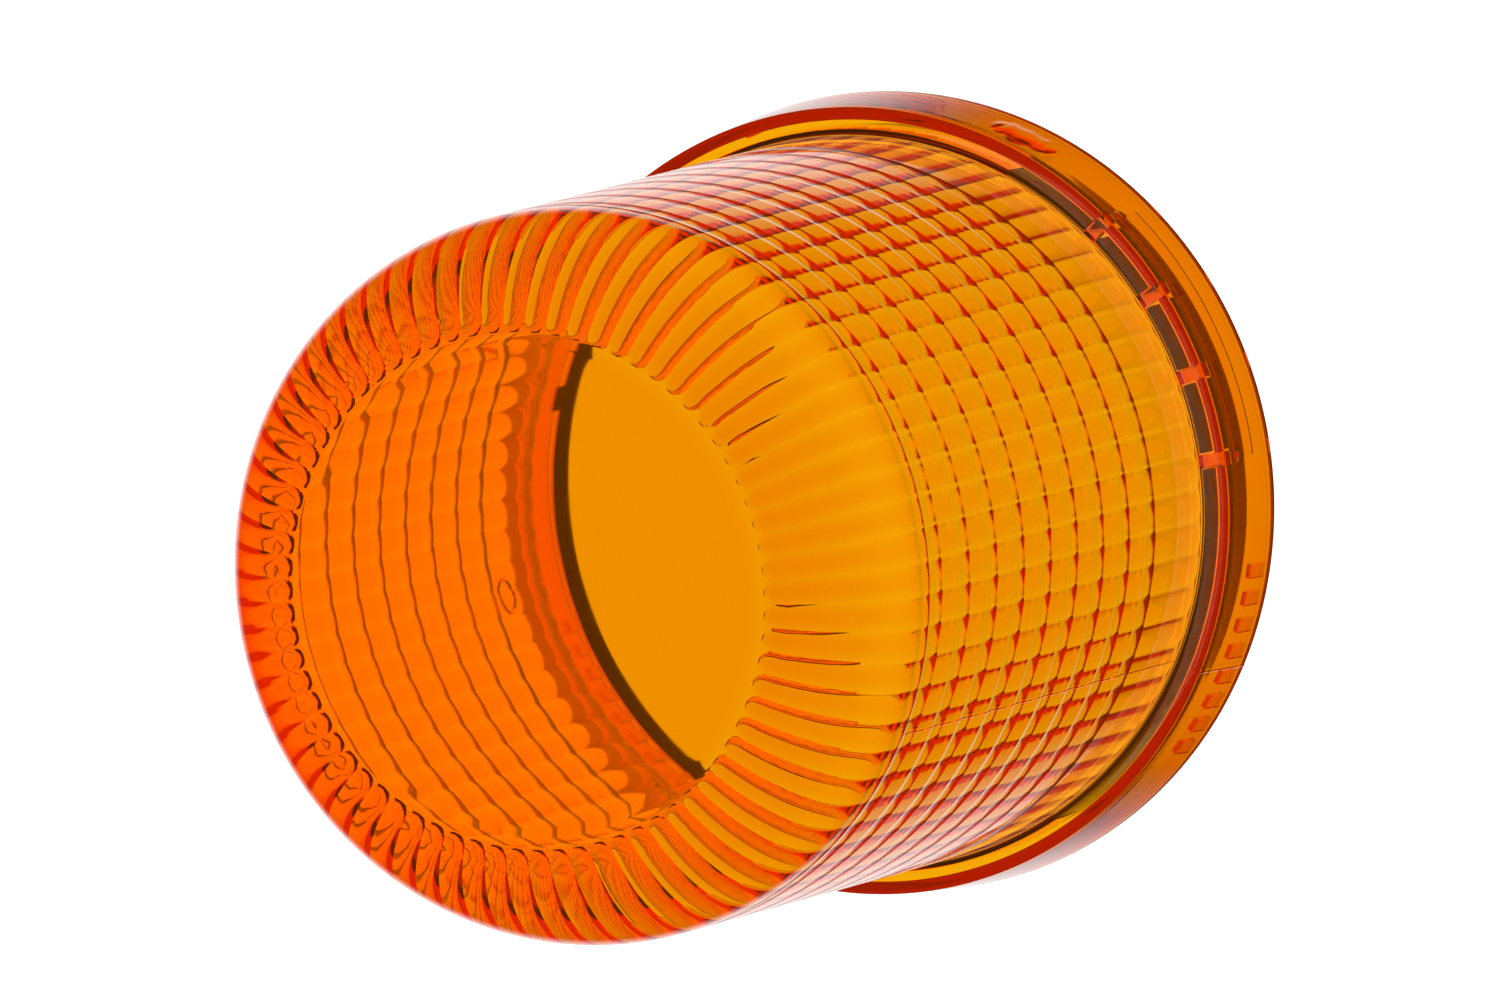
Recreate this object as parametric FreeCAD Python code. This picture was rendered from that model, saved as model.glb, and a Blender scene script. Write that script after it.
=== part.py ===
import FreeCAD, Part
import math
import os

# Amber beacon lens: one transparent plastic moulding, mouth down, window up.
# Millimetres. The origin is the middle of the mouth, on the rim plane; +Z is the lens axis.
# The moulding is written out as its features, which meet face to face.

# Skirt, flange and collar round the mouth
RIM_R = 82.5
FLANGE_R = 80.5
FLANGE_TOP_Z = 21.0
FLANGE_UNDER_Z = 19.0
FLANGE_EDGE_FILLET = 1.2
SKIRT_INNER_RIM_R = 79.6
SKIRT_INNER_TOP_R = 77.9
COLLAR_INNER_R = 73.5
COLLAR_OUTER_R = 75.8
COLLAR_LOW_Z = 7.8
BAND_BORE_R = 73.3
BAND_OUTER_R = 75.6
BAND_RIM_Z = 0.8
UPSTAND_INNER_R = 74.5
UPSTAND_START_ANGLE = -58.0
UPSTAND_SWEEP = 120.0

# Tapered body
BODY_R_AT_RIM = 75.42
BODY_TAPER = 0.03744
BAND_TOP_Z = 41.0
PARTING_Z = 150.6
WALL = 2.2

# Shoulder, a quarter ellipse between the wall and the window
SHOULDER_Z = 153.5
TOP_Z = 179.6
TOP_FLAT_R = 45.0
TOP_WALL = 3.2
WINDOW_R = 48.0
WINDOW_UNDER_Z = 176.8

# Shallow ring grooves outside the wall, one arc each; the heights are of their steeper lower parts
GROOVES = 9
GROOVE_Z = 146.4
GROOVE_PITCH = 12.56
GROOVE_DEPTH = 0.2
GROOVE_BELOW = 1.6
GROOVE_ABOVE = 4.1

# Flutes inside the wall and shoulder
FLUTES = 72
FLUTE_HEIGHT_WALL = 0.36
FLUTE_HEIGHT_WINDOW = 0.55

# Small features near the mouth
KEY_ANGLE = 163.6
KEY_WIDTH = 5.2
KEY_TOP_Z = 12.0
SLOT_FLOOR_Z = 3.0
BRIDGE_ANGLES = (6.2, 19.4, 32.6, 45.6)
BRIDGE_WIDTH = 2.8
BRIDGE_BOTTOM_Z = 16.0
PAD_DEPTH = 0.5
PAD_BOTTOM_Z = 6.0
PAD_TOP_Z = 14.0
TOOTH_GROUPS = 3
TEETH_PER_GROUP = 8
TOOTH_FIRST_ANGLE = -39.3
TOOTH_PITCH_ANGLE = 4.05
TOOTH_WIDTH = 2.8
TOOTH_DEPTH = 0.9
TOOTH_LOW_Z = 0.6
TOOTH_HIGH_Z = 7.0
BADGE_ANGLE = 64.0
BADGE_Z = 10.5
BADGE_HALF_LENGTH = 7.5
BADGE_HALF_HEIGHT = 4.5
BADGE_HEIGHT = 0.35
ROUNDEL_ANGLE = -166.4
ROUNDEL_Z = 40.0
ROUNDEL_R = 3.7
ROUNDEL_BORE_R = 3.1
ROUNDEL_HEIGHT = 0.25

ORIGIN = FreeCAD.Vector(0, 0, 0)
UP = FreeCAD.Vector(0, 0, 1)


def point(r, z):
    return FreeCAD.Vector(r, 0, z)


def body_radius(z):
    return BODY_R_AT_RIM - BODY_TAPER * z


def skirt_radius(z):
    return RIM_R + (FLANGE_R - RIM_R) * z / FLANGE_UNDER_Z


def skirt_inner_radius(z):
    return SKIRT_INNER_RIM_R + (SKIRT_INNER_TOP_R - SKIRT_INNER_RIM_R) * z / FLANGE_UNDER_Z


def shoulder_point(angle):
    """A point of the shoulder's outer profile; 0 is at the wall and 90 at the window."""
    a = math.radians(angle)
    across = body_radius(SHOULDER_Z) - TOP_FLAT_R
    return (TOP_FLAT_R + across * math.cos(a), SHOULDER_Z + (TOP_Z - SHOULDER_Z) * math.sin(a))


def angle_at_radius(radius):
    """The shoulder angle whose profile point has this radius."""
    share = (radius - TOP_FLAT_R) / (body_radius(SHOULDER_Z) - TOP_FLAT_R)
    return math.degrees(math.acos(share))


def shoulder_edge(first, last, steps):
    """A smooth edge along the shoulder profile between two angles."""
    points = [point(*shoulder_point(first + (last - first) * i / steps)) for i in range(steps + 1)]
    curve = Part.BSplineCurve()
    curve.interpolate(points)
    return curve.toShape()


def turned(edges):
    """A full revolution about the lens axis of a closed profile."""
    return Part.Face(Part.Wire(edges)).revolve(ORIGIN, UP, 360)


def turned_polygon(corners):
    points = [point(r, z) for r, z in corners]
    points.append(points[0])
    return Part.Face(Part.makePolygon(points)).revolve(ORIGIN, UP, 360)


def polar(r, angle, z):
    a = math.radians(angle)
    return FreeCAD.Vector(r * math.cos(a), r * math.sin(a), z)


def fluted_wire(valley_r, height, z):
    """A closed ring of flutes that bulge inwards from the valley radius."""
    step = 360.0 / FLUTES
    edges = []
    for i in range(FLUTES):
        start = polar(valley_r, (i - 0.5) * step, z)
        middle = polar(valley_r - height, i * step, z)
        end = polar(valley_r, (i + 0.5) * step, z)
        edges.append(Part.Arc(start, middle, end).toShape())
    return Part.Wire(edges)


def fluted_core(stations):
    """The space inside a fluted surface that passes through these rings."""
    wires = [fluted_wire(r, h, z) for r, h, z in stations]
    return Part.makeLoft(wires, True, True)


def wall_station(z):
    return (body_radius(z) - WALL + FLUTE_HEIGHT_WALL, FLUTE_HEIGHT_WALL, z)


def shoulder_station(angle):
    """A flute ring one wall thickness inside the shoulder's outer profile."""
    r, z = shoulder_point(angle)
    r_before, z_before = shoulder_point(angle - 0.5)
    r_after, z_after = shoulder_point(angle + 0.5)
    dr = r_after - r_before
    dz = z_after - z_before
    length = math.hypot(dr, dz)
    share = angle / 90.0
    height = FLUTE_HEIGHT_WALL + (FLUTE_HEIGHT_WINDOW - FLUTE_HEIGHT_WALL) * share
    depth = WALL + (TOP_WALL - WALL) * share - height
    return (r - depth * dz / length, height, z + depth * dr / length)


def arc_block(r_in, r_out, angle, width, z_low, z_high):
    """A radial block of constant width between two radii."""
    block = Part.makeBox(r_out - r_in, width, z_high - z_low, FreeCAD.Vector(r_in, -width / 2, z_low))
    block.rotate(ORIGIN, UP, angle)
    return block


def make_window():
    edge_angle = angle_at_radius(WINDOW_R)
    corner = shoulder_point(edge_angle)
    edges = [
        Part.makeLine(point(0, WINDOW_UNDER_Z), point(WINDOW_R, WINDOW_UNDER_Z)),
        Part.makeLine(point(WINDOW_R, WINDOW_UNDER_Z), point(*corner)),
        shoulder_edge(edge_angle, 90, 4),
        Part.makeLine(point(TOP_FLAT_R, TOP_Z), point(0, TOP_Z)),
        Part.makeLine(point(0, TOP_Z), point(0, WINDOW_UNDER_Z)),
    ]
    return turned(edges)


def make_shoulder():
    edge_angle = angle_at_radius(WINDOW_R)
    corner = shoulder_point(edge_angle)
    inner_r = WINDOW_R
    edges = [
        Part.makeLine(point(inner_r, PARTING_Z), point(body_radius(PARTING_Z), PARTING_Z)),
        Part.makeLine(point(body_radius(PARTING_Z), PARTING_Z), point(*shoulder_point(0))),
        shoulder_edge(0, edge_angle, 12),
        Part.makeLine(point(*corner), point(inner_r, PARTING_Z)),
    ]
    solid = turned(edges)
    stations = [wall_station(PARTING_Z), wall_station(SHOULDER_Z)]
    stations += [shoulder_station(angle) for angle in (22, 38, 54, 68)]
    stations.append((WINDOW_R + FLUTE_HEIGHT_WINDOW + 0.4, FLUTE_HEIGHT_WINDOW, WINDOW_UNDER_Z))
    return solid.cut(fluted_core(stations))


def make_prism_wall():
    deep = body_radius(PARTING_Z) - 12
    here = point(body_radius(BAND_TOP_Z), BAND_TOP_Z)
    edges = [Part.makeLine(point(deep, BAND_TOP_Z), here)]
    for i in reversed(range(GROOVES)):
        low_z = GROOVE_Z - i * GROOVE_PITCH - GROOVE_BELOW
        high_z = GROOVE_Z - i * GROOVE_PITCH + GROOVE_ABOVE
        middle_z = (low_z + high_z) / 2
        low = point(body_radius(low_z), low_z)
        high = point(body_radius(high_z), high_z)
        bottom = point(body_radius(middle_z) - GROOVE_DEPTH, middle_z)
        edges.append(Part.makeLine(here, low))
        edges.append(Part.Arc(low, bottom, high).toShape())
        here = high
    edges.append(Part.makeLine(here, point(body_radius(PARTING_Z), PARTING_Z)))
    edges.append(Part.makeLine(point(body_radius(PARTING_Z), PARTING_Z), point(deep, PARTING_Z)))
    edges.append(Part.makeLine(point(deep, PARTING_Z), point(deep, BAND_TOP_Z)))
    return turned(edges).cut(fluted_core([wall_station(BAND_TOP_Z), wall_station(PARTING_Z)]))


def make_base_band():
    deep = body_radius(BAND_TOP_Z) - 12
    corners = [
        (deep, FLANGE_UNDER_Z),
        (body_radius(FLANGE_UNDER_Z), FLANGE_UNDER_Z),
        (body_radius(BAND_TOP_Z), BAND_TOP_Z),
        (deep, BAND_TOP_Z),
    ]
    solid = turned_polygon(corners)
    return solid.cut(fluted_core([wall_station(FLANGE_UNDER_Z), wall_station(BAND_TOP_Z)]))


def make_flange():
    top_r = skirt_radius(FLANGE_TOP_Z)
    f = FLANGE_EDGE_FILLET
    middle = point(top_r - f + f * math.sin(math.pi / 4), FLANGE_TOP_Z - f + f * math.cos(math.pi / 4))
    start = point(top_r - f, FLANGE_TOP_Z)
    end = point(top_r, FLANGE_TOP_Z - f)
    inner_top = point(body_radius(FLANGE_TOP_Z), FLANGE_TOP_Z)
    inner_low = point(body_radius(FLANGE_UNDER_Z), FLANGE_UNDER_Z)
    outer_low = point(skirt_radius(FLANGE_UNDER_Z), FLANGE_UNDER_Z)
    edges = [
        Part.makeLine(inner_low, inner_top),
        Part.makeLine(inner_top, start),
        Part.Arc(start, middle, end).toShape(),
        Part.makeLine(end, outer_low),
        Part.makeLine(outer_low, inner_low),
    ]
    return turned(edges)


def make_skirt():
    corners = [
        (SKIRT_INNER_RIM_R, 0),
        (RIM_R, 0),
        (skirt_radius(FLANGE_UNDER_Z), FLANGE_UNDER_Z),
        (SKIRT_INNER_TOP_R, FLANGE_UNDER_Z),
    ]
    return turned_polygon(corners)


def key_block():
    return arc_block(70, 80, KEY_ANGLE, KEY_WIDTH, COLLAR_LOW_Z, KEY_TOP_Z)


def upstand_space(outer_r):
    """An arc in the outer half of the collar, where the lower band stands up to the flange."""
    corners = [
        (UPSTAND_INNER_R, COLLAR_LOW_Z),
        (outer_r, COLLAR_LOW_Z),
        (outer_r, FLANGE_UNDER_Z),
        (UPSTAND_INNER_R, FLANGE_UNDER_Z),
    ]
    points = [point(r, z) for r, z in corners]
    points.append(points[0])
    arc = Part.Face(Part.makePolygon(points)).revolve(ORIGIN, UP, UPSTAND_SWEEP)
    arc.rotate(ORIGIN, UP, UPSTAND_START_ANGLE)
    return arc


def collar_ring(low_z, high_z, bore_r, outer_r):
    return turned_polygon([(bore_r, low_z), (outer_r, low_z), (outer_r, high_z), (bore_r, high_z)])


def make_collar():
    collar = collar_ring(COLLAR_LOW_Z, FLANGE_UNDER_Z, COLLAR_INNER_R, COLLAR_OUTER_R)
    return collar.cut(key_block()).cut(upstand_space(COLLAR_OUTER_R + 1))


def make_collar_band():
    """The collar's lower band and its upstand, slotted at each bridging rib."""
    band = collar_ring(BAND_RIM_Z, COLLAR_LOW_Z, BAND_BORE_R, BAND_OUTER_R)
    band = band.fuse(upstand_space(BAND_OUTER_R)).removeSplitter()
    for angle in BRIDGE_ANGLES:
        band = band.cut(arc_block(70, 80, angle, BRIDGE_WIDTH, SLOT_FLOOR_Z, FLANGE_UNDER_Z + 1))
    return band


def make_key_tab():
    """The key that stands up from the lower band into a notch of the collar."""
    return collar_ring(COLLAR_LOW_Z, KEY_TOP_Z, BAND_BORE_R, BAND_OUTER_R).common(key_block())


def gap_space():
    """The channel between collar and skirt, which the bridges fill across."""
    corners = [
        (UPSTAND_INNER_R, BRIDGE_BOTTOM_Z),
        (skirt_inner_radius(BRIDGE_BOTTOM_Z), BRIDGE_BOTTOM_Z),
        (SKIRT_INNER_TOP_R, FLANGE_UNDER_Z),
        (UPSTAND_INNER_R, FLANGE_UNDER_Z),
    ]
    return turned_polygon(corners)


def make_bridge(angle):
    block = arc_block(73, 81, angle, BRIDGE_WIDTH, BRIDGE_BOTTOM_Z, FLANGE_UNDER_Z)
    return gap_space().common(block)


def make_locating_pad():
    """A raised arc inside the skirt that reaches from the first bridge to the last."""
    corners = [
        (skirt_inner_radius(PAD_BOTTOM_Z) - PAD_DEPTH, PAD_BOTTOM_Z),
        (skirt_inner_radius(PAD_BOTTOM_Z), PAD_BOTTOM_Z),
        (skirt_inner_radius(PAD_TOP_Z), PAD_TOP_Z),
        (skirt_inner_radius(PAD_TOP_Z) - PAD_DEPTH, PAD_TOP_Z),
    ]
    points = [point(r, z) for r, z in corners]
    points.append(points[0])
    sweep = BRIDGE_ANGLES[-1] - BRIDGE_ANGLES[0]
    pad = Part.Face(Part.makePolygon(points)).revolve(ORIGIN, UP, sweep)
    pad.rotate(ORIGIN, UP, BRIDGE_ANGLES[0])
    return pad


def make_teeth():
    """Short ratchet teeth on the skirt's inner face, just above the rim."""
    corners = [
        (skirt_inner_radius(TOOTH_LOW_Z) - TOOTH_DEPTH, TOOTH_LOW_Z),
        (skirt_inner_radius(TOOTH_LOW_Z), TOOTH_LOW_Z),
        (skirt_inner_radius(TOOTH_HIGH_Z), TOOTH_HIGH_Z),
        (skirt_inner_radius(TOOTH_HIGH_Z) - TOOTH_DEPTH, TOOTH_HIGH_Z),
    ]
    band = turned_polygon(corners)
    teeth = []
    for group in range(TOOTH_GROUPS):
        for i in range(TEETH_PER_GROUP):
            angle = TOOTH_FIRST_ANGLE + group * 360 / TOOTH_GROUPS + i * TOOTH_PITCH_ANGLE
            teeth.append(band.common(arc_block(74, 81, angle, TOOTH_WIDTH, 0, 8)))
    return Part.makeCompound(teeth)


def make_roundel():
    """A blank raised ring on the wall's fluted inner face."""
    crest_r = body_radius(ROUNDEL_Z) - WALL
    outer = Part.makeCylinder(ROUNDEL_R, 3, point(crest_r - ROUNDEL_HEIGHT, ROUNDEL_Z), FreeCAD.Vector(1, 0, 0))
    bore = Part.makeCylinder(ROUNDEL_BORE_R, 5, point(crest_r - 1, ROUNDEL_Z), FreeCAD.Vector(1, 0, 0))
    ring = outer.cut(bore)
    ring.rotate(ORIGIN, UP, ROUNDEL_ANGLE)
    return ring.common(fluted_core([wall_station(FLANGE_UNDER_Z), wall_station(PARTING_Z)]))


def make_badge():
    """A blank oval pad standing a little proud of the skirt."""
    outline = Part.Ellipse(ORIGIN, BADGE_HALF_LENGTH, BADGE_HALF_HEIGHT)
    plug = Part.Face(Part.Wire(outline.toShape())).extrude(FreeCAD.Vector(0, 0, 8))
    plug.rotate(ORIGIN, UP, 90)
    plug.rotate(ORIGIN, FreeCAD.Vector(0, 1, 0), 90)
    plug.translate(FreeCAD.Vector(RIM_R - 5, 0, BADGE_Z))
    low = BADGE_Z - BADGE_HALF_HEIGHT - 0.5
    high = BADGE_Z + BADGE_HALF_HEIGHT + 0.5
    corners = [
        (skirt_radius(low), low),
        (skirt_radius(low) + BADGE_HEIGHT, low),
        (skirt_radius(high) + BADGE_HEIGHT, high),
        (skirt_radius(high), high),
    ]
    badge = turned_polygon(corners).common(plug)
    badge.rotate(ORIGIN, UP, BADGE_ANGLE)
    return badge


nodes = {
    "top_window": make_window(),
    "shoulder_ring": make_shoulder(),
    "prism_wall": make_prism_wall(),
    "base_band": make_base_band(),
    "flange_ring": make_flange(),
    "skirt": make_skirt(),
    "inner_collar": make_collar(),
    "collar_band": make_collar_band(),
    "key_tab": make_key_tab(),
    "locating_pad": make_locating_pad(),
    "ratchet_teeth": make_teeth(),
    "blank_badge": make_badge(),
    "blank_roundel": make_roundel(),
}
for number, bridge_angle in enumerate(BRIDGE_ANGLES, start=1):
    nodes["bridge_rib_%d" % number] = make_bridge(bridge_angle)

os.makedirs("parts", exist_ok=True)
for name, shape in nodes.items():
    shape.exportStep("parts/%s.step" % name)
    print(name, shape.isValid(), len(shape.Solids), len(shape.Faces), round(shape.Volume, 1))
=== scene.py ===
import math

import bmesh
import bpy
from mathutils import Matrix, Vector


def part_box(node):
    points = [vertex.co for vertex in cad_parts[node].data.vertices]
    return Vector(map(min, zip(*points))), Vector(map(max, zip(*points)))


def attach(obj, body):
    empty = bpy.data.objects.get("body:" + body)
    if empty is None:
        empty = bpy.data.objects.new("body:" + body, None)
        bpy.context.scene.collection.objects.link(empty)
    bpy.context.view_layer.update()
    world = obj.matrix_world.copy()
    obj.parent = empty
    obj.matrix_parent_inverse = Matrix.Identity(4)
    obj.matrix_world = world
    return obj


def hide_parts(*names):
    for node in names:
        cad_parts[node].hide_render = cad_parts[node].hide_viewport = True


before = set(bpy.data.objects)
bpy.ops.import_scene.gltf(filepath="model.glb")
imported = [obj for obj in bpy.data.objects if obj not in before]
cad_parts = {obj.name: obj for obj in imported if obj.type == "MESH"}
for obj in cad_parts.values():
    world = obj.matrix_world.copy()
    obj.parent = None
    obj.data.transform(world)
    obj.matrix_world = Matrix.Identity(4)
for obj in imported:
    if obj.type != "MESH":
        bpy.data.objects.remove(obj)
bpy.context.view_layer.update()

MM = 0.001

# ---------------------------------------------------------------- sizes read from the frame
RIM_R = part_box("skirt")[1][0] / MM
UNDER_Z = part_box("skirt")[1][2] / MM
FLANGE_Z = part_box("flange_ring")[1][2] / MM
FLANGE_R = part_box("flange_ring")[1][0] / MM
PARTING_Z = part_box("prism_wall")[1][2] / MM
TOP_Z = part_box("top_window")[1][2] / MM
WINDOW_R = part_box("top_window")[1][0] / MM
WINDOW_UNDER_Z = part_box("top_window")[0][2] / MM
COLLAR_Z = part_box("inner_collar")[0][2] / MM
BAND_LOW_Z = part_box("collar_band")[0][2] / MM
BAND_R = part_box("collar_band")[1][0] / MM - 0.05
KEY_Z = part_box("key_tab")[1][2] / MM
BRIDGE_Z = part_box("bridge_rib_1")[0][2] / MM

SKIRT_TOP_R = 80.5
BODY_R0 = 75.42
BODY_TAPER = 0.03744
SHOULDER_Z = 153.5
TOP_FLAT_R = 45.0
WALL = 2.2
TOP_WALL = 3.2
BORE_R = 73.3
COLLAR_BORE_R = 73.5
COLLAR_R = 75.75

# ---------------------------------------------------------------- flutes, grooves, small features
FLUTES = 72
FLUTE_H = 0.36
FLUTE_H_MID = 0.55
FLUTE_H_TOP = 0.5
GROOVES = 9
GROOVE_Z = 146.4
GROOVE_PITCH = 12.56
GROOVE_D = 0.2
GROOVE_BELOW = 1.6
GROOVE_ABOVE = 4.1
KEY = (163.6, 5.2)
KEY_HALF = math.degrees(KEY[1] / 2 / 74.5)
BRIDGES = (6.2, 19.4, 32.6, 45.6)
BRIDGE_HALF = math.degrees(1.4 / 77.5)
SLOT_Z = 3.0
LEDGE_Z = 19.8
UPSTAND_R = 74.5
UPSTAND = (-58.0, 62.0)
SPLIT_ANGLE = -25.2
PAD = (6.0, 14.0, 0.2)
TEETH = [-39.3 + 4.05 * i + 120 * k for k in range(3) for i in range(8)]
TOOTH_HALF = math.degrees(1.4 / 79.0)
TOOTH_DEPTH = 0.9
TOOTH_Z = (0.6, 7.0)
BADGE = (64.0, 10.5, 7.5, 4.5, 0.32)
ROUNDEL = (-166.4, 40.0, 3.1, 3.7, 0.22)


def body_r(z):
    return BODY_R0 - BODY_TAPER * z


def skirt_r(z):
    return RIM_R + (SKIRT_TOP_R - RIM_R) * z / UNDER_Z


def skirt_in(z):
    return 79.6 + (77.9 - 79.6) * z / UNDER_Z


def shoulder(angle):
    a = math.radians(angle)
    across = body_r(SHOULDER_Z) - TOP_FLAT_R
    return (TOP_FLAT_R + across * math.cos(a), SHOULDER_Z + (TOP_Z - SHOULDER_Z) * math.sin(a))


def apart(t, other):
    """Signed angle from other to t, in degrees."""
    return (t - other + 180) % 360 - 180


def smooth(x):
    x = min(1.0, max(0.0, x))
    return x * x * (3 - 2 * x)


def spread(low, high, n):
    return [low + (high - low) * i / n for i in range(n + 1)]


# ---------------------------------------------------------------- outer profile, window to rim
def groove(z):
    """Depth of the shallow round-bottomed ring grooves at height z."""
    for k in range(GROOVES):
        up = z - (GROOVE_Z - k * GROOVE_PITCH)
        x = (2 * up - GROOVE_ABOVE + GROOVE_BELOW) / (GROOVE_ABOVE + GROOVE_BELOW)
        if abs(x) < 1:
            return GROOVE_D * (1 - x * x)
    return 0.0


def outer_profile():
    rings = [(r, TOP_Z) for r in (12, 24, 34, 41, 44)]
    turns = (88, 85, 81, 77, 73, 69, 64, 59, 54, 49, 44, 39, 34, 29, 24, 19, 14, 9, 5, 2)
    rings += [shoulder(a) for a in turns]
    heights = [SHOULDER_Z, 153.2, 152.9, PARTING_Z + 1.9]
    for k in range(GROOVES):
        top = GROOVE_Z - k * GROOVE_PITCH + GROOVE_ABOVE
        width = GROOVE_ABOVE + GROOVE_BELOW
        heights += [top + 0.12] + [top - width * i / 12 for i in range(13)] + [top - width - 0.12]
        heights.append(top - width - 2.6)
    heights += [PARTING_Z + 0.15, PARTING_Z + 0.05, PARTING_Z - 0.05, PARTING_Z - 0.15]
    heights += [40, 34, 28, 24, 22.2]
    for z in sorted(set(heights), reverse=True):
        line = 0.03 if abs(z - PARTING_Z) < 0.1 else 0.0
        rings.append((body_r(z) - groove(z) + line, z))
    r0 = body_r(FLANGE_Z)
    rings += [(r0 + 0.05, 21.5), (r0 + 0.2, 21.15), (r0 + 0.6, FLANGE_Z), (r0 + 2.4, FLANGE_Z)]
    top = FLANGE_R - 0.15
    for i in range(6):
        a = math.radians(90 * i / 5)
        rings.append((top - 1.1 + 1.1 * math.sin(a), FLANGE_Z - 1.1 + 1.1 * math.cos(a)))
    for z in (18.2, 16, 14.6, 13.2, 11.8, 10.4, 9, 7.6, 6.2, 4.6, 3, 1.2, 0.5):
        rings.append((skirt_r(z), z))
    for i in range(1, 4):
        a = math.radians(30 * i)
        rings.append((RIM_R - 0.5 + 0.5 * math.cos(a), 0.5 - 0.5 * math.sin(a)))
    return rings


# ---------------------------------------------------------------- inner profile, rim to window
# each ring is (radius, height, tag, distance from the flute's nearer tip)
def inner_profile():
    rings = [(79.95, 0.0, "rim", 0), (79.62, 0.25, "skirt", 0)]
    for z in (0.5, 0.7, 3, 5.9, 6.1, 6.9, 7.1, 10, 12, 13.9, 14.1, BRIDGE_Z - 0.1):
        rings.append((skirt_in(z), z, "skirt", 0))
    rings += [(77.95, UNDER_Z - 0.4, "skirt", 0), (77.7, UNDER_Z, "roof", 0), (76.6, UNDER_Z, "roof", 0)]
    rings += [(COLLAR_R, UNDER_Z - 0.1, "roof", 0)]
    rings += [(COLLAR_R, z, "skirt", 0) for z in (BRIDGE_Z - 0.1, KEY_Z + 0.1, KEY_Z - 0.1)]
    rings += [(COLLAR_R, COLLAR_Z + 0.05, "collar", 0), (73.8, COLLAR_Z + 0.05, "collar", 0)]
    rings += [(COLLAR_BORE_R, COLLAR_Z + 0.3, "collar", 0), (COLLAR_BORE_R, KEY_Z - 0.1, "collar", 0)]
    rings += [(COLLAR_BORE_R, KEY_Z + 0.1, "collar", 0), (COLLAR_BORE_R, LEDGE_Z - 0.3, "collar", 0)]
    valley = WALL - FLUTE_H
    rings += [(COLLAR_BORE_R - 0.3, LEDGE_Z, "flute", 0)]
    for up in (0.02, 0.3, 0.7, 1.2, 1.8, 2.5, 3.4, 5, 8, 12):
        z = LEDGE_Z + up
        rings.append((body_r(z) - valley, z, "flute", up))
    for z in spread(ROUNDEL[1] - 4.2, ROUNDEL[1] + 4.2, 24):
        rings.append((body_r(z) - valley, z, "flute", 99))
    for z in spread(52, 148, 9) + [150.6, 153.5]:
        rings.append((body_r(z) - valley, z, "flute", 99))
    for a in (5, 10, 15, 20, 25, 30, 35, 40, 45, 50, 55, 60, 65, 69):
        r, z = shoulder(a)
        r1, z1 = shoulder(a - 0.5)
        r2, z2 = shoulder(a + 0.5)
        length = math.hypot(r2 - r1, z2 - z1)
        d = WALL - FLUTE_H + (TOP_WALL - WALL) * smooth(a / 75)
        r -= d * (z2 - z1) / length
        rings.append((r, z + d * (r2 - r1) / length, "top", r - WINDOW_R - 0.1))
    last = rings[-1]
    steps = 14
    for i in range(1, steps + 1):
        f = 1 - (1 - i / steps) ** 1.6
        r = last[0] + (WINDOW_R + 0.1 - last[0]) * f
        z = last[1] + (WINDOW_UNDER_Z - 0.05 - last[1]) * f
        rings.append((r, z, "top", r - WINDOW_R - 0.1))
    rings.append((WINDOW_R - 0.2, WINDOW_UNDER_Z + 0.02, "window", 0))
    rings += [(r, WINDOW_UNDER_Z, "window", 0) for r in (46, 40, 28, 14)]
    return rings


def outer_point(r, z, t):
    if 5 < z < 16.5 and r > 78:
        x = math.radians(apart(t, BADGE[0])) * RIM_R / BADGE[2]
        y = (z - BADGE[1]) / BADGE[3]
        q = math.hypot(x, y)
        if q < 1:
            r += BADGE[4] * smooth((1 - q) * 6)
            r -= 0.15 * smooth(1 - abs(q - 0.72) / 0.14)
    if z < 150 and abs(apart(t, SPLIT_ANGLE)) < 0.06:
        r += 0.1
    return r, z


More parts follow.
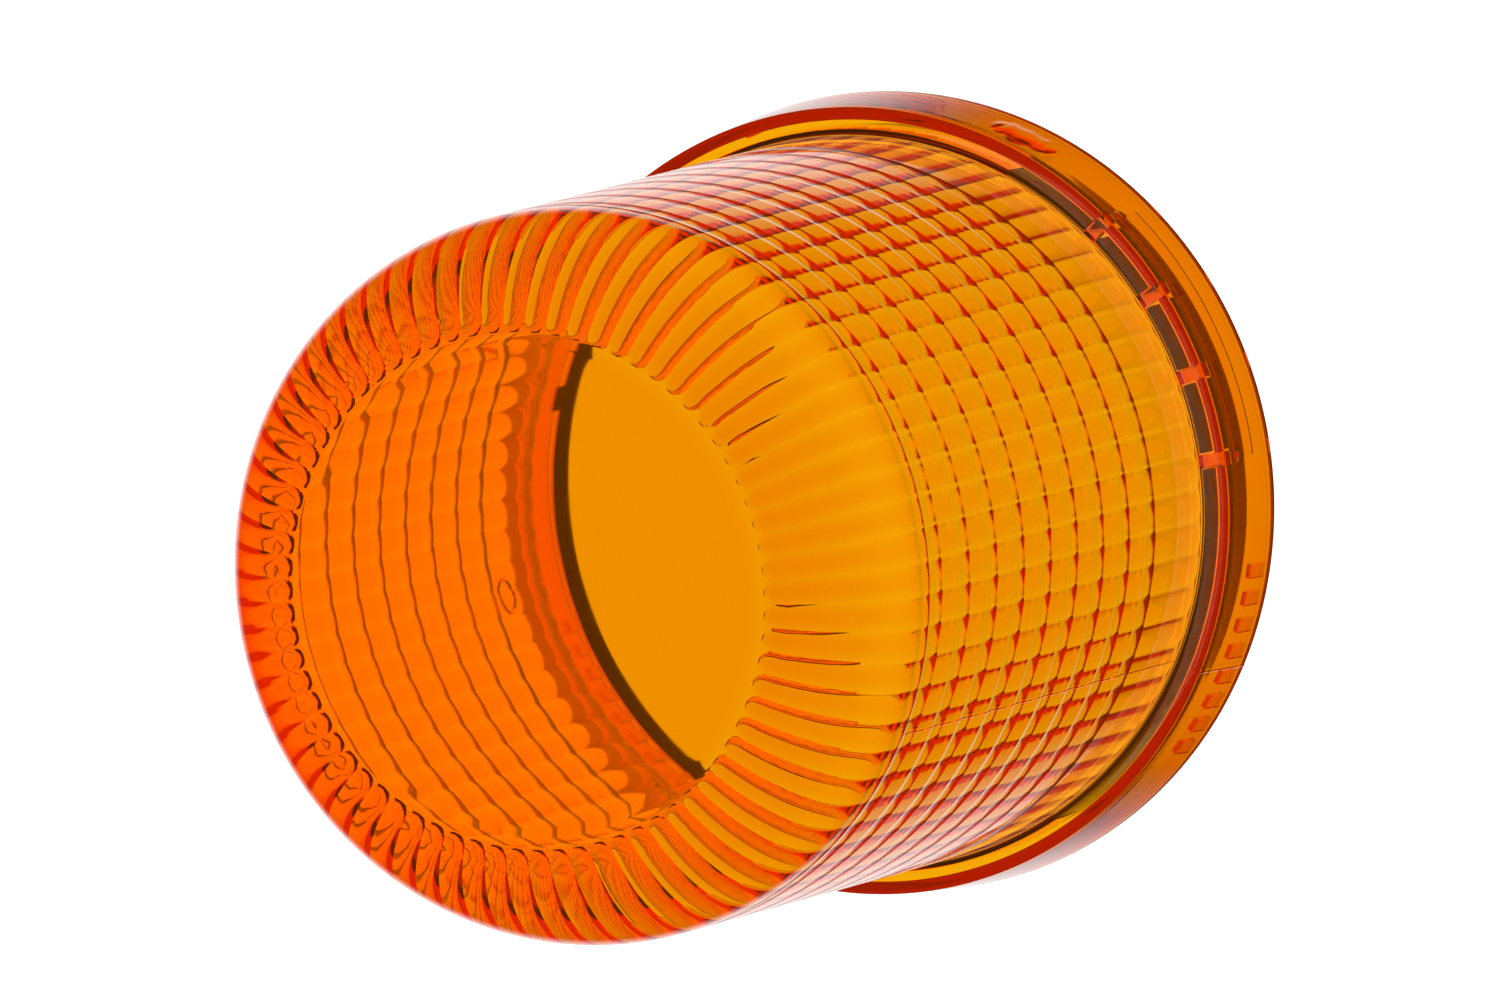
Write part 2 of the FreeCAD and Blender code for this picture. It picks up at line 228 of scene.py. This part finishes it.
def inner_point(r, z, tag, d, t):
    turn = apart(t, 0)
    if abs(r - COLLAR_R) < 0.01 and tag != "flute" and UPSTAND[0] < turn < UPSTAND[1]:
        r = UPSTAND_R - 0.05
    if tag in ("skirt", "roof"):
        if z > BRIDGE_Z and any(abs(apart(t, b)) < BRIDGE_HALF for b in BRIDGES):
            return (r, BRIDGE_Z + (z - BRIDGE_Z) * 0.02)
        if tag == "skirt" and r > 76:
            if PAD[0] <= z <= PAD[1] and BRIDGES[0] < turn < BRIDGES[-1]:
                r -= PAD[2]
            if TOOTH_Z[0] < z < TOOTH_Z[1] and any(abs(apart(t, a)) < TOOTH_HALF for a in TEETH):
                r -= TOOTH_DEPTH
    if tag in ("flute", "top"):
        step = 360 / FLUTES
        u = ((t + step / 2) % step - step / 2) / (step / 2)
        h = FLUTE_H
        if z > 148:
            h += (FLUTE_H_MID - FLUTE_H) * smooth((z - 158) / 12)
            h += (FLUTE_H_TOP - FLUTE_H_MID) * smooth((12 - d) / 12) if tag == "top" else 0
        half = r * math.radians(step / 2)
        width = 1.0
        if d < half:
            width = math.sqrt(max(0.0, 1 - (1 - max(d, 0) / half) ** 2))
        lift = 0.0
        if width > 0.02 and abs(u) < width:
            lift = h * (1 - (u / width) ** 2) * min(1, width * 1.1)
        if tag == "flute":
            r -= lift
        else:
            slope = smooth((z - 150) / 25)
            r -= lift * (1 - 0.55 * slope)
            z -= lift * 0.85 * slope
    if tag == "flute" and abs(z - ROUNDEL[1]) < 5:
        across = math.radians(apart(t, ROUNDEL[0])) * r
        if abs(across) < 5:
            q = abs(math.hypot(across, z - ROUNDEL[1]) - (ROUNDEL[2] + ROUNDEL[3]) / 2)
            r -= ROUNDEL[4] * smooth(1.5 - q / 0.3)
    if tag == "collar" and z < KEY_Z and abs(apart(t, KEY[0])) < KEY_HALF + 0.06:
        z = KEY_Z + z * 0.002
    return r, z


def columns():
    coarse = [360 * i / 288 for i in range(288)]
    edges = []
    for b in BRIDGES:
        for s in (-1, 1):
            edges += [b + s * (BRIDGE_HALF - 0.03), b + s * (BRIDGE_HALF + 0.03)]
    for a in TEETH:
        for s in (-1, 1):
            edges += [a + s * (TOOTH_HALF - 0.03), a + s * (TOOTH_HALF + 0.03)]
    for end in UPSTAND:
        edges += [end - 0.03, end + 0.03]
    for s in (-1, 1):
        edges += [SPLIT_ANGLE + 0.05 * s, SPLIT_ANGLE + 0.16 * s]
        edges += [KEY[0] + s * (KEY_HALF + 0.03), KEY[0] + s * (KEY_HALF + 0.09)]
    extra = {round(e % 360, 4) for e in edges}
    badge = [BADGE[0] + 0.4 * i for i in range(-14, 15)]
    badge += [SPLIT_ANGLE + s for s in (-0.16, -0.05, 0.05, 0.16)]
    mark = {round((ROUNDEL[0] + 0.28 * i) % 360, 4) for i in range(-13, 14)}
    outer = sorted({round(c, 4) for c in coarse} | {round(b % 360, 4) for b in badge})
    fine = {round(360 * i / 576, 4) for i in range(576)}
    inner = sorted(set(outer) | fine | extra | mark)
    keep = []
    for a in inner:
        near = [e for e in extra if 0 < abs(a - e) < 0.12]
        if near and a not in extra and a not in outer:
            continue
        keep.append(a)
    return outer, keep


def finished(bm, name):
    bmesh.ops.recalc_face_normals(bm, faces=bm.faces)
    for f in bm.faces:
        f.smooth = True
    for e in bm.edges:
        if len(e.link_faces) == 2 and e.calc_face_angle(0) > math.radians(28):
            e.smooth = False
    mesh = bpy.data.meshes.new(name)
    bm.to_mesh(mesh)
    bm.free()
    ob = bpy.data.objects.new(name, mesh)
    bpy.context.scene.collection.objects.link(ob)
    return ob


def lens_mesh():
    outer_cols, inner_cols = columns()
    bm = bmesh.new()

    def at(r, z, t):
        a = math.radians(t)
        return bm.verts.new((r * math.cos(a) * MM, r * math.sin(a) * MM, z * MM))

    def join(low, high):
        n = len(low)
        for i in range(n):
            j = (i + 1) % n
            bm.faces.new((low[i], low[j], high[j], high[i]))

    top = bm.verts.new((0, 0, TOP_Z * MM))
    outer = []
    for r, z in outer_profile():
        outer.append([at(*outer_point(r, z, t), t) for t in outer_cols])
    first = outer[0]
    for i in range(len(first)):
        bm.faces.new((top, first[i], first[(i + 1) % len(first)]))
    for a, b in zip(outer, outer[1:]):
        join(b, a)
    inner = []
    for r, z, tag, d in inner_profile():
        inner.append([at(*inner_point(r, z, tag, d, t), t) for t in inner_cols])
    place = {t: i for i, t in enumerate(inner_cols)}
    rim_out = outer[-1]
    rim_in = inner[0]
    for i, t in enumerate(outer_cols):
        j = (i + 1) % len(outer_cols)
        start = place[t]
        stop = place[outer_cols[j]]
        if stop <= start:
            stop += len(inner_cols)
        run = [rim_in[k % len(inner_cols)] for k in range(stop, start - 1, -1)]
        bm.faces.new([rim_out[i], rim_out[j]] + run)
    for a, b in zip(inner, inner[1:]):
        join(b, a)
    middle = bm.verts.new((0, 0, WINDOW_UNDER_Z * MM))
    last = inner[-1]
    for i in range(len(last)):
        bm.faces.new((middle, last[(i + 1) % len(last)], last[i]))
    return finished(bm, "lens_moulding")


def band_mesh():
    """The collar's lower band, slotted under the bridging ribs, and the key that stands up from it."""
    cols = columns()[1]
    high = COLLAR_Z - 0.05
    crest = UNDER_Z - 0.1
    rings = [(BAND_R, 1.2, 0), (BAND_R, SLOT_Z, 0)]
    rings += [(BAND_R, high - 0.3, crest - 0.3), (BAND_R - 0.3, high, crest)]
    rings += [(UPSTAND_R + 0.3, high, crest), (UPSTAND_R, high, crest - 0.3), (UPSTAND_R - 0.05, high, 0)]
    rings += [(73.6, high, 0), (BORE_R, high - 0.3, 0), (BORE_R, SLOT_Z, 0), (BORE_R, 1.2, 0)]
    rings += [(73.6, BAND_LOW_Z, 0), (BAND_R - 0.3, BAND_LOW_Z, 0)]
    bm = bmesh.new()
    grid = []
    for r, z, raised in rings:
        row = []
        for t in cols:
            low = z
            if raised and UPSTAND[0] < apart(t, 0) < UPSTAND[1]:
                low = raised
            if any(abs(apart(t, b)) < BRIDGE_HALF + 0.04 for b in BRIDGES):
                low = min(z, SLOT_Z + z * 0.02)
            a = math.radians(t)
            row.append(bm.verts.new((r * math.cos(a) * MM, r * math.sin(a) * MM, low * MM)))
        grid.append(row)
    for a, b in zip(grid, grid[1:] + grid[:1]):
        for i in range(len(cols)):
            j = (i + 1) % len(cols)
            bm.faces.new((a[i], a[j], b[j], b[i]))
    tab = []
    for z in (high + 0.02, KEY_Z - 0.1):
        for r in (BORE_R, BAND_R):
            tab.append([])
            for i in range(7):
                a = math.radians(KEY[0] + (i / 3 - 1) * KEY_HALF)
                tab[-1].append(bm.verts.new((r * math.cos(a) * MM, r * math.sin(a) * MM, z * MM)))
    loop = (tab[0], tab[1], tab[3], tab[2])
    for a, b in zip(loop, loop[1:] + loop[:1]):
        for i in range(6):
            bm.faces.new((a[i], a[i + 1], b[i + 1], b[i]))
    bm.faces.new([row[0] for row in loop])
    bm.faces.new([row[-1] for row in reversed(loop)])
    return finished(bm, "lower_band")


# ---------------------------------------------------------------- material
def amber(name, colour, density, ior, painted_glow):
    """Clear plastic that takes its colour from the depth of plastic a ray crosses, with faint flow marks,
    and a faint orange painted glow that lifts its darkest parts.
    """
    mat = bpy.data.materials.new(name)
    mat.use_nodes = True
    nt = mat.node_tree
    n = nt.nodes
    p = n["Principled BSDF"]
    p.inputs["Base Color"].default_value = (1, 1, 1, 1)
    p.inputs["Transmission Weight"].default_value = 1
    p.inputs["IOR"].default_value = ior
    # Painted glow: the plastic gives off a faint orange light of its own, lifting the darkest parts.
    p.inputs["Emission Color"].default_value = (1.0, 0.4, 0.0, 1)
    p.inputs["Emission Strength"].default_value = painted_glow
    v = n.new("ShaderNodeVolumeAbsorption")
    v.inputs["Color"].default_value = (*colour, 1)
    v.inputs["Density"].default_value = density
    nt.links.new(v.outputs[0], n["Material Output"].inputs["Volume"])
    geo = n.new("ShaderNodeTexCoord")
    wave = n.new("ShaderNodeTexNoise")
    wave.inputs["Scale"].default_value = 45
    wave.inputs["Detail"].default_value = 2
    nt.links.new(geo.outputs["Object"], wave.inputs["Vector"])
    rough = n.new("ShaderNodeMapRange")
    rough.inputs["To Min"].default_value = 0.0
    rough.inputs["To Max"].default_value = 0.05
    nt.links.new(wave.outputs["Fac"], rough.inputs["Value"])
    nt.links.new(rough.outputs["Result"], p.inputs["Roughness"])
    bump = n.new("ShaderNodeBump")
    bump.inputs["Strength"].default_value = 0.06
    bump.inputs["Distance"].default_value = 0.0004
    nt.links.new(wave.outputs["Fac"], bump.inputs["Height"])
    nt.links.new(bump.outputs["Normal"], p.inputs["Normal"])
    return mat


lens = lens_mesh()
lens.data.materials.append(amber("amber_polycarbonate", (0.9833, 0.8567, 0.0), 3000, 1.56, 0.03))
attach(lens, "root")
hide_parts(*[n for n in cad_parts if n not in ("collar_band", "key_tab")])

band = band_mesh()
# Painted shade: the band gets a near-black amber that stands in for the darkness deep inside the collar.
band.data.materials.append(amber("painted_shade_amber", (0.25, 0.0, 0.0), 3500, 1.08, 0.0))
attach(band, "root")
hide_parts("collar_band", "key_tab")

# ---------------------------------------------------------------- floor and light
# The floor glows evenly, except for a dimmer disc under the lens, which is a painted shadow of the lens.
FLOOR_PAINTED_SHADOW = 0.98
FLOOR_OUTSIDE = 1.25
FLOOR_SPLIT_R = 0.0755
FLOOR_GREY = 0.4
FLOOR_DROP = 0.0003


def first_reflection(nt):
    """1 where a ray has only been reflected once, as the studio shows itself in the plastic's skin."""
    path = nt.nodes.new("ShaderNodeLightPath")
    first = nt.nodes.new("ShaderNodeMath")
    first.operation = "LESS_THAN"
    first.inputs[1].default_value = 2.5
    nt.links.new(path.outputs["Ray Depth"], first.inputs[0])
    both = nt.nodes.new("ShaderNodeMath")
    both.operation = "MULTIPLY"
    nt.links.new(first.outputs[0], both.inputs[0])
    nt.links.new(path.outputs["Is Glossy Ray"], both.inputs[1])
    return both.outputs[0]


def floor_material(name, strength):
    mat = bpy.data.materials.new(name)
    mat.use_nodes = True
    nt = mat.node_tree
    p = nt.nodes["Principled BSDF"]
    p.inputs["Base Color"].default_value = (FLOOR_GREY, FLOOR_GREY, FLOOR_GREY, 1)
    p.inputs["Roughness"].default_value = 0.8
    p.inputs["Emission Color"].default_value = (1, 1, 1, 1)
    p.inputs["Emission Strength"].default_value = strength
    mix = nt.nodes.new("ShaderNodeMixShader")
    clear = nt.nodes.new("ShaderNodeBsdfTransparent")
    nt.links.new(first_reflection(nt), mix.inputs[0])
    nt.links.new(p.outputs[0], mix.inputs[1])
    nt.links.new(clear.outputs[0], mix.inputs[2])
    nt.links.new(mix.outputs[0], nt.nodes["Material Output"].inputs["Surface"])
    mat.cycles.emission_sampling = "NONE"
    return mat


def ring_plate(name, r_in, r_out, n=96):
    bm = bmesh.new()
    rows = []
    for r in (r_in, r_out):
        turns = [2 * math.pi * i / n for i in range(n)]
        rows.append([bm.verts.new((r * math.cos(a), r * math.sin(a), 0)) for a in turns])
    for i in range(n):
        bm.faces.new((rows[0][i], rows[1][i], rows[1][(i + 1) % n], rows[0][(i + 1) % n]))
    if r_in < FLOOR_SPLIT_R:
        bm.faces.new(rows[0])
    mesh = bpy.data.meshes.new(name)
    bm.to_mesh(mesh)
    bm.free()
    ob = bpy.data.objects.new(name, mesh)
    ob.location.z = -FLOOR_DROP
    bpy.context.scene.collection.objects.link(ob)
    return ob


floor = ring_plate("floor", FLOOR_SPLIT_R, 5.0)
floor.data.materials.append(floor_material("pale_floor", FLOOR_OUTSIDE))
# Painted shadow: the floor under the lens glows dimmer than the rest.
painted_shadow_patch = ring_plate("floor_painted_shadow", 0.04, FLOOR_SPLIT_R)
painted_shadow_patch.data.materials.append(floor_material("pale_floor_shaded", FLOOR_PAINTED_SHADOW))

# ---------------------------------------------------------------- camera
# The lens axis as the photograph shows it: x right, y up, z towards the camera
AXIS = Vector((-0.404, -0.1044, 0.0))
AXIS.z = math.sqrt(1 - AXIS.x ** 2 - AXIS.y ** 2)
SIDE = Vector((0, 1, 0)).cross(AXIS).normalized()
OTHER = AXIS.cross(SIDE)
FOCAL = 8061.3
SHIFT = Vector((0.3738, 0.0191, -20.0478))
IMAGE_W = 1493
to_camera = Matrix((
    (SIDE.x, OTHER.x, AXIS.x, SHIFT.x * RIM_R * MM),
    (SIDE.y, OTHER.y, AXIS.y, SHIFT.y * RIM_R * MM),
    (SIDE.z, OTHER.z, AXIS.z, SHIFT.z * RIM_R * MM),
    (0, 0, 0, 1),
))
cam_data = bpy.data.cameras.new("camera")
cam_data.sensor_width = 36
cam_data.lens = 36 * FOCAL / IMAGE_W
cam_data.clip_start = 0.05
cam_data.clip_end = 50
camera = bpy.data.objects.new("camera", cam_data)
camera.matrix_world = to_camera.inverted()
bpy.context.scene.collection.objects.link(camera)
bpy.context.scene.camera = camera

# ---------------------------------------------------------------- backdrop
# White to every ray, except that a first reflection sees it fade away from the photograph's view axis
FADE_FROM = math.radians(36)
FADE_TO = math.radians(10)
world = bpy.data.worlds.new("studio")
bpy.context.scene.world = world
world.use_nodes = True
world.cycles.sampling_method = "NONE"
nt = world.node_tree
away = camera.matrix_world.to_3x3() @ Vector((0, 0, -1))
where = nt.nodes.new("ShaderNodeTexCoord")
dot = nt.nodes.new("ShaderNodeVectorMath")
dot.operation = "DOT_PRODUCT"
dot.inputs[1].default_value = away
nt.links.new(where.outputs["Generated"], dot.inputs[0])
fall = nt.nodes.new("ShaderNodeMapRange")
fall.interpolation_type = "SMOOTHSTEP"
fall.inputs["From Min"].default_value = math.cos(FADE_FROM)
fall.inputs["From Max"].default_value = math.cos(FADE_TO)
nt.links.new(dot.outputs["Value"], fall.inputs["Value"])
mix = nt.nodes.new("ShaderNodeMix")
mix.inputs[2].default_value = 1.0
nt.links.new(first_reflection(nt), mix.inputs["Factor"])
nt.links.new(fall.outputs["Result"], mix.inputs[3])
nt.links.new(mix.outputs[0], nt.nodes["Background"].inputs["Strength"])
nt.nodes["Background"].inputs["Color"].default_value = (1, 1, 1, 1)

scene = bpy.context.scene
scene.view_settings.view_transform = "Standard"
scene.cycles.max_bounces = 32
scene.cycles.transmission_bounces = 32
scene.cycles.glossy_bounces = 8
scene.cycles.transparent_max_bounces = 16
scene.cycles.caustics_refractive = False
scene.cycles.caustics_reflective = False
